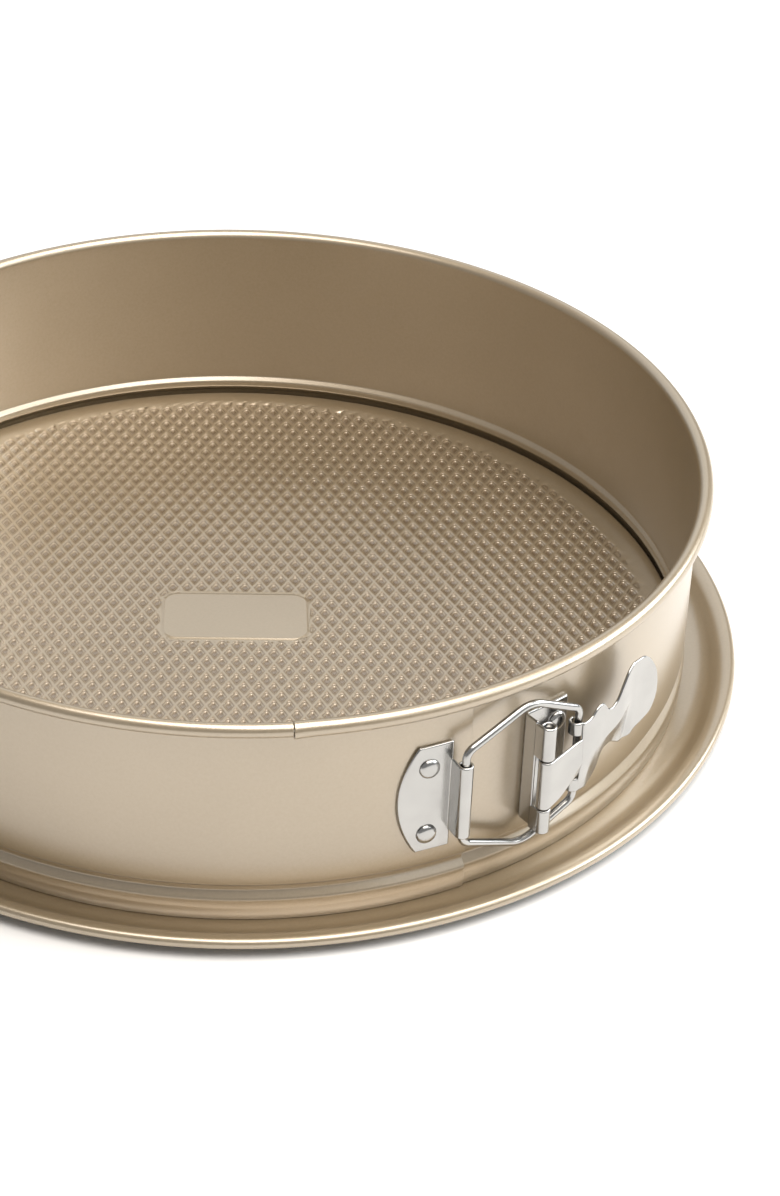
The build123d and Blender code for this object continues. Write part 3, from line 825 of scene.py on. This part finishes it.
def bail_plate_shell(settings):
    """Wall plate with an arched free edge, and the tongue rolled round the wire."""
    low, high = BAIL_PLATE_HEIGHTS
    half = settings.plate / 2
    heights = tight(low + half, high - half, 30, RIM_STEP)
    middle, reach = (low + high) / 2, (high - low) / 2
    share = np.clip(abs(heights - middle) / reach, 0, 1)
    starts = BAIL_PLATE[0] + BAIL_PLATE_BOW * share**2
    nip, nip_from = BAIL_PLATE_NIP
    starts = starts + nip * np.clip((share - nip_from) / (1 - nip_from), 0, 1)
    ends = np.full_like(heights, BAIL_PLATE[1])
    radius = OUTER_WALL + SEAT + half
    plate = wall_plate(starts, ends, heights, radius, half)
    path = barrel_path(settings, KNUCKLE, radius, BAIL_TONGUE_START)
    return joined([plate, tongue_shell(settings, KNUCKLE, path, *BAIL_TONGUE)])


class PAN_OT_bail_plate(Operator):
    """Stamps the bail plate and rolls its tongue into the knuckle"""

    bl_idname = "pan.bail_plate"
    bl_label = "Bail plate"

    def execute(self, context):
        shell = bail_plate_shell(context.scene.pan.clasp)
        make_piece("hinge_plate", shell, "ring", ["bail_plate"], plated_steel)
        return {"FINISHED"}


def bracket_shell(settings):
    """Wall plate, the web that stands out from it, and two rolled barrels."""
    low, high = BRACKET_HEIGHTS
    half = settings.plate / 2
    radius = INNER_WALL + SEAT + half
    pivot_angle = math.degrees(math.atan2(PIVOT[0], -PIVOT[1]))
    start = pivot_angle - math.degrees(settings.barrel_radius / radius)
    heights = tight(low + half, high - half, 40, RIM_STEP)
    near = np.maximum(BRACKET_CORNER - (heights - low), BRACKET_CORNER - (high - heights))
    near = np.clip(near, 0, BRACKET_CORNER)
    cut = BRACKET_CORNER - np.sqrt(BRACKET_CORNER**2 - near**2)
    ends = BRACKET_END - np.degrees(cut / radius)
    starts = np.full_like(heights, start + BRACKET_START)
    plate = wall_plate(starts, ends, heights, radius, half)
    path = barrel_path(settings, PIVOT, radius, BRACKET_TONGUE_START)
    reach = math.hypot(*PIVOT[:2])
    in_web = path[:, 1] < reach - ROLL_START
    web = np.vstack([path[in_web], (path[~in_web][0, 0], reach - WEB_END)])
    rolled = np.vstack([(path[~in_web][0, 0], reach - ROLL_START), path[~in_web]])
    shells = [plate, tongue_shell(settings, PIVOT, web, low, high)]
    for bottom, top in BRACKET_BARRELS:
        shells.append(tongue_shell(settings, PIVOT, rolled, bottom, top))
    return joined(shells)


class PAN_OT_lever_bracket(Operator):
    """Stamps the lever bracket with its web and two barrels"""

    bl_idname = "pan.lever_bracket"
    bl_label = "Lever bracket"

    def execute(self, context):
        shell = bracket_shell(context.scene.pan.clasp)
        make_piece("pivot_bracket", shell, "ring", ["lever_bracket"], plated_steel)
        return {"FINISHED"}


class PAN_OT_rivets(Operator):
    """Heads the four rivets of the two wall plates"""

    bl_idname = "pan.rivets"
    bl_label = "Rivets"

    def execute(self, context):
        plate = context.scene.pan.clasp.plate + SEAT + RIVET_LIFT
        for name, (degrees, heights), wall, depth in (
                ("bail", BAIL_RIVETS, OUTER_WALL, BAIL_RIVET_DEPTH),
                ("bracket", BRACKET_RIVETS, INNER_WALL, BRACKET_RIVET_DEPTH)):
            for place, height in zip(("lower", "upper"), heights):
                shell = rivet_shell(degrees, height, wall + plate, depth)
                make_piece(
                    f"{name}_rivet_{place}_head", shell, "ring", [f"{name}_rivet_{place}"],
                    plated_steel)
        return {"FINISHED"}


def pin_shell():
    """Plain round pin with bevelled ends: its profile turned about the lever's axis."""
    low, high = (corner.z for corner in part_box("pivot_pin"))
    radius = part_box("pivot_pin")[1].x - PIVOT[0]
    profile = [
        (0, low), (radius * 0.8, low), (radius, low + PIN_CHAMFER),
        (radius, high - PIN_CHAMFER), (radius * 0.8, high), (0, high)]
    return lathe(profile, np.array([PIVOT[0], PIVOT[1], 0]), (0, 0, 1), 32)


class PAN_OT_pivot_pin(Operator):
    """Fits the pin that the lever turns on"""

    bl_idname = "pan.pivot_pin"
    bl_label = "Pivot pin"

    def execute(self, context):
        make_piece(
            "hinge_pin", pin_shell(), "ring", ["pivot_pin"], plated_steel)
        return {"FINISHED"}


# ---- wire bail ----
BAIL_KNUCKLE_HALF = 14.5 * MM
BAIL_WIDE_HALF = 22.9 * MM
BAIL_WIDE_AT = 20.0 * MM
BAIL_HOOK_HALF = 14.7 * MM
BAIL_BENDS = (3.4 * MM, 9.0 * MM, 3.4 * MM, 3.4 * MM, 9.0 * MM, 3.4 * MM)
BAIL_LEG_AT = 13.0 * MM  # the far leg along the lever, from the pivot
BAIL_LEG_OUT = -0.05 * MM


def lever_axes(settings):
    """Unit vectors of the closed lever: along it, and out from the wall."""
    a = settings.heading
    return np.array([math.cos(a), math.sin(a)]), np.array([math.sin(a), -math.cos(a)])


def bail_shell(settings):
    """Round wire bent to a closed flat loop: a circle carried along the loop.

    The loop lies in the upright plane through the knuckle and the far leg, so
    each ring is spanned by the plane's normal and the loop's own normal.
    """
    along, out = lever_axes(settings)
    leg = PIVOT[:2] + BAIL_LEG_AT * along + BAIL_LEG_OUT * out
    reach = np.linalg.norm(leg - KNUCKLE[:2])
    way = unit(leg - KNUCKLE[:2])
    corners = [
        (0, -BAIL_KNUCKLE_HALF), (0, BAIL_KNUCKLE_HALF), (BAIL_WIDE_AT, BAIL_WIDE_HALF),
        (reach, BAIL_HOOK_HALF), (reach, -BAIL_HOOK_HALF), (BAIL_WIDE_AT, -BAIL_WIDE_HALF)]
    middle = [(0, 0)]
    line = rounded_line(middle + corners[1:] + corners[:1] + middle, BAIL_BENDS, 13)[1:]
    ahead = unit(np.roll(line, -1, axis=0) - line)
    slope = unit(ahead + np.roll(ahead, 1, axis=0))
    normal = np.stack([-slope[:, 1], slope[:, 0]], -1)
    a = np.linspace(0, 2 * math.pi, 28, endpoint=False)
    flat = line[:, None] + settings.wire_radius * np.cos(a)[None, :, None] * normal[:, None]
    side = settings.wire_radius * np.sin(a)
    x = KNUCKLE[0] + flat[..., 0] * way[0] + side * way[1]
    y = KNUCKLE[1] + flat[..., 0] * way[1] - side * way[0]
    z = KNUCKLE[2] + flat[..., 1]
    index = np.arange(x.size).reshape(x.shape)
    points = np.stack([x, y, z], -1).reshape(-1, 3)
    return points, [quads(index, wrap_rows=True, wrap_columns=True)]


class PAN_OT_wire_bail(Operator):
    """Bends the wire bail"""

    bl_idname = "pan.wire_bail"
    bl_label = "Wire bail"

    def execute(self, context):
        shell = bail_shell(context.scene.pan.clasp)
        make_piece("bail_loop", shell, "bail", ["wire_bail"], plated_steel)
        return {"FINISHED"}


# ---- lever ----
HOOK_AT = 12.3 * MM
HOOK_RADIUS = 1.35 * MM
HOOK_OUT = -0.05 * MM
HOOK_HEIGHTS = ((23.7 * MM, 28.2 * MM), (41.9 * MM, 46.2 * MM))
HOOK_TURN = (90, 285)  # degrees, from straight out, back round the wire
HOOK_LAP = 0.3 * MM  # how far a hook runs on into the blade
ARM_END, BLADE_TIP, TIP_BEND = 12.3, 44.9, 0.5  # along the lever, in mm
# edges and ridge of the lever: distance from the pivot and height, in mm
ARM_UPPER = ((0, 40.0), (6, 40.4), (12.2, 41.2))
ARM_LOWER = ((0, 24.5), (4.5, 25.5), (8.5, 27.9), (12.2, 29.6))
BLADE_UPPER = (
    (12.3, 46.2), (15.4, 46.5), (17.6, 48.3), (19.4, 48.9), (21.0, 47.9), (22.6, 45.6),
    (24.4, 45.1), (26.6, 46.2), (29.0, 49.8), (31.6, 52.9), (34.6, 54.3), (37.6, 54.2),
    (40.6, 52.5), (43.2, 49.4), (44.8, 45.8), (45.4, 42.6))
BLADE_LOWER = (
    (12.3, 23.7), (16.0, 23.3), (18.8, 23.9), (21.2, 26.2), (22.6, 29.2), (24.4, 30.9),
    (27.0, 31.2), (29.2, 30.1), (31.4, 29.0), (33.6, 29.7), (36.0, 31.4), (39.6, 32.3),
    (42.6, 33.4), (44.6, 35.9), (45.4, 38.6))
RIDGE = (
    (0, 31.0), (7.8, 31.4), (13.3, 34.0), (19.2, 36.9), (25.8, 38.6), (33.9, 42.4),
    (45.4, 40.6))
# the ridge's rise and the lower flank's further drop, as shares of the fold
RIDGE_RISE = ((0, 0.0), (5, 0.0), (13, 0.6), (20, 0.85), (28, 0.8), (34.6, 0.0), (46, 0.0))
LOWER_DROP = ((0, 0.0), (14.5, 0.0), (19, 0.8), (32.4, 1.0), (34.8, 0.0), (46, 0.0))
UPPER_FALL = 0.35  # how much of the ridge's rise the upper flank loses
RIDGE_ROUND = 0.05  # how softly the surface turns over the ridge


def eased(table, x):
    """Smooth curve through a short table: cubic pieces between its rows.

    The slope at a row is the harmonic mean of the slopes beside it, or nought
    where they point opposite ways, so the curve never swings past a row.
    """
    knots, values = np.array(table, float).T
    steps = np.diff(values) / np.diff(knots)
    slopes = np.zeros_like(values)
    same = steps[:-1] * steps[1:] > 0
    slopes[1:-1][same] = 2 * (steps[:-1] * steps[1:])[same] / (steps[:-1] + steps[1:])[same]
    slopes[0], slopes[-1] = steps[0], steps[-1]
    i = np.clip(np.searchsorted(knots, x) - 1, 0, len(steps) - 1)
    span = knots[i + 1] - knots[i]
    t = (x - knots[i]) / span
    return (
        (1 + 2 * t) * (1 - t) ** 2 * values[i] + t * (1 - t) ** 2 * span * slopes[i]
        + t**2 * (3 - 2 * t) * values[i + 1] + t**2 * (t - 1) * span * slopes[i + 1])


def lever_rows(settings, upper, lower, at):
    """Rows of the lever's middle surface: each row runs from edge to edge.

    Height goes from the lower edge to the ridge to the upper edge. The surface
    stands out most at the ridge: the upper flank stays nearly flat, and the
    lower one falls straight back.
    """
    half = settings.sheet / 2
    top = eased(upper, at)[:, None] * MM - half
    bottom = eased(lower, at)[:, None] * MM + half
    ridge = np.clip(eased(RIDGE, at)[:, None] * MM, bottom + 2 * half, top - 2 * half)
    t = np.concatenate([
        [-1, -0.97], np.linspace(-0.85, -0.08, 7), [-0.03, 0, 0.03],
        np.linspace(0.08, 0.85, 7), [0.97, 1]])
    z = np.where(t < 0, ridge + (ridge - bottom) * t, ridge + (top - ridge) * t)
    soft = np.sqrt(t**2 + RIDGE_ROUND**2) - RIDGE_ROUND
    rise = eased(RIDGE_RISE, at)[:, None] * settings.fold
    drop = eased(LOWER_DROP, at)[:, None] * settings.fold
    fall = np.where(t > 0, UPPER_FALL * rise, rise + drop)
    out = settings.barrel_radius - half + rise - fall * soft
    return np.broadcast_to(at[:, None] * MM, z.shape), out, z


def lever_points(settings, x, out, z):
    """Lever coordinates (along, out, up) to the pan's own."""
    along, away = lever_axes(settings)
    plan = PIVOT[:2] + x[..., None] * along + out[..., None] * away
    return np.concatenate([plan, z[..., None]], -1)


def lever_shell(settings):
    """Barrel and arm, blade and handle, and the two hooks."""
    half = settings.sheet / 2
    middle = settings.barrel_radius - half
    x, out, z = lever_rows(settings, ARM_UPPER, ARM_LOWER, tight(0, ARM_END, 10, 0.1))
    turn = np.radians(90 + np.linspace(BARREL_TURN, 0, 36))[:-1]
    roll_x = np.broadcast_to((middle * np.cos(turn))[:, None], (len(turn), x.shape[1]))
    roll_out = np.broadcast_to((middle * np.sin(turn))[:, None], roll_x.shape)
    roll_z = np.broadcast_to(z[0], roll_x.shape)
    arm = lever_points(
        settings, np.vstack([roll_x, x]), np.vstack([roll_out, out]), np.vstack([roll_z, z]))
    tip = BLADE_TIP + TIP_BEND * np.sin(np.linspace(0.4, 1.57, 4))
    at = np.concatenate([tight(ARM_END, BLADE_TIP, 76, 0.1), tip])
    blade = lever_points(settings, *lever_rows(settings, BLADE_UPPER, BLADE_LOWER, at))
    shells = [solid_sheet(arm, half), solid_sheet(blade, half)]
    a = np.radians(np.linspace(*HOOK_TURN, 20))
    hook_radius = HOOK_RADIUS + half
    for low, high in HOOK_HEIGHTS:
        heights = tight(low + half, high - half, 3, RIM_STEP)
        plan_x = np.concatenate([[HOOK_AT + HOOK_LAP], HOOK_AT + hook_radius * np.cos(a)])
        plan_out = HOOK_OUT + hook_radius * np.concatenate([[1], np.sin(a)])
        grid_x, grid_z = np.meshgrid(plan_x, heights, indexing="ij")
        grid_out = np.broadcast_to(plan_out[:, None], grid_x.shape)
        shells.append(solid_sheet(lever_points(settings, grid_x, grid_out, grid_z), half))
    return joined(shells)


class PAN_OT_clamp_lever(Operator):
    """Folds the lever, with its barrel, hooks and handle"""

    bl_idname = "pan.clamp_lever"
    bl_label = "Clamp lever"

    def execute(self, context):
        shell = lever_shell(context.scene.pan.clasp)
        make_piece("folded_lever", shell, "lever", ["clamp_lever"], plated_steel)
        return {"FINISHED"}


# ======== stage ========
CAMERA_PLACE = (-0.34600, -0.67037, 0.52382)
CAMERA_YAW, CAMERA_PITCH, CAMERA_ROLL = 30.668, 34.021, 2.618
CAMERA_LENS = 93.59
FLOOR_HALF = 8.0
WORLD_STRENGTH = 0.32
AIM = (0, 0, 0.03)
# name, place, size, power and colour of each softbox
SOFTBOXES = (
    ("right_softbox", (1.15, -0.45, 0.7), (1.2, 0.7), 17, (0.94, 0.98, 1)),
    ("front_softbox", (0.45, -1.05, 1.0), (0.8, 0.7), 1.5, (0.94, 0.98, 1)),
    ("top_softbox", (0.1, -0.25, 1.2), (1.1, 1.1), 21, (1, 0.94, 0.87)),
    ("back_softbox", (0.3, 1.15, 0.8), (1.8, 0.7), 3, (0.94, 0.98, 1)),
)


def area_light(name, place, size, power, tint):
    """Soft rectangular light that faces the pan."""
    data = bpy.data.lights.new(name, "AREA")
    data.shape = "RECTANGLE"
    data.size, data.size_y = size
    data.energy = power
    data.color = tint
    lamp = bpy.data.objects.new(name, data)
    lamp.location = place
    lamp.rotation_euler = (Vector(AIM) - Vector(place)).to_track_quat("-Z", "Y").to_euler()
    bpy.context.scene.collection.objects.link(lamp)


class PAN_OT_stage(Operator):
    """Lays the floor, sets the lights and places the camera"""

    bl_idname = "pan.stage"
    bl_label = "Stage"

    def execute(self, context):
        scene = context.scene
        mesh = bpy.data.meshes.new("studio_floor")
        corners = ((-1, -1), (1, -1), (1, 1), (-1, 1))
        mesh.from_pydata(
            [(x * FLOOR_HALF, y * FLOOR_HALF, 0) for x, y in corners], [], [(0, 1, 2, 3)])
        mesh.materials.append(shared(studio_paper))
        floor = bpy.data.objects.new("studio_floor", mesh)
        scene.collection.objects.link(floor)

        world = bpy.data.worlds.new("studio")
        world.use_nodes = True
        sky = world.node_tree.nodes["Background"]
        sky.inputs["Color"].default_value = (1, 1, 1, 1)
        sky.inputs["Strength"].default_value = WORLD_STRENGTH
        scene.world = world
        for softbox in SOFTBOXES:
            area_light(*softbox)
        scene.view_settings.view_transform = "Standard"

        data = bpy.data.cameras.new("camera")
        data.lens = CAMERA_LENS
        data.sensor_width = 36.0
        data.clip_start, data.clip_end = 0.01, 50.0
        camera = bpy.data.objects.new("camera", data)
        turn = (
            Matrix.Rotation(math.radians(-CAMERA_YAW), 4, "Z")
            @ Matrix.Rotation(math.radians(90 - CAMERA_PITCH), 4, "X")
            @ Matrix.Rotation(math.radians(CAMERA_ROLL), 4, "Z"))
        camera.matrix_world = Matrix.Translation(CAMERA_PLACE) @ turn
        scene.collection.objects.link(camera)
        scene.camera = camera
        return {"FINISHED"}


# ======== panel and registration ========
OPERATORS = (
    PAN_OT_base, PAN_OT_band, PAN_OT_bail_plate, PAN_OT_wire_bail, PAN_OT_lever_bracket,
    PAN_OT_clamp_lever, PAN_OT_rivets, PAN_OT_pivot_pin, PAN_OT_stage)


class PAN_PT_sidebar(Panel):
    """Lists the pan's pieces and their settings"""

    bl_idname = "PAN_PT_sidebar"
    bl_label = "Springform pan"
    bl_space_type = "VIEW_3D"
    bl_region_type = "UI"
    bl_category = "Pan"

    def draw(self, context):
        for operator in OPERATORS:
            self.layout.operator(operator.bl_idname)
        pan = context.scene.pan
        for group in (pan.band, pan.base, pan.clasp, pan.finish):
            box = self.layout.box()
            for name in group.__annotations__:
                box.prop(group, name)


GROUPS = (BandSettings, BaseSettings, ClaspSettings, FinishSettings, PAN_Settings)


def register():
    """Adds the settings, operators and panel to Blender."""
    for group in (*GROUPS, *OPERATORS, PAN_PT_sidebar):
        bpy.utils.register_class(group)
    bpy.types.Scene.pan = PointerProperty(type=PAN_Settings)


def unregister():
    """Takes them out again."""
    del bpy.types.Scene.pan
    for group in reversed((*GROUPS, *OPERATORS, PAN_PT_sidebar)):
        bpy.utils.unregister_class(group)


def main():
    """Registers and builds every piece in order."""
    register()
    for operator in OPERATORS:
        area, name = operator.bl_idname.split(".")
        getattr(getattr(bpy.ops, area), name)()


if __name__ == "__main__":
    main()
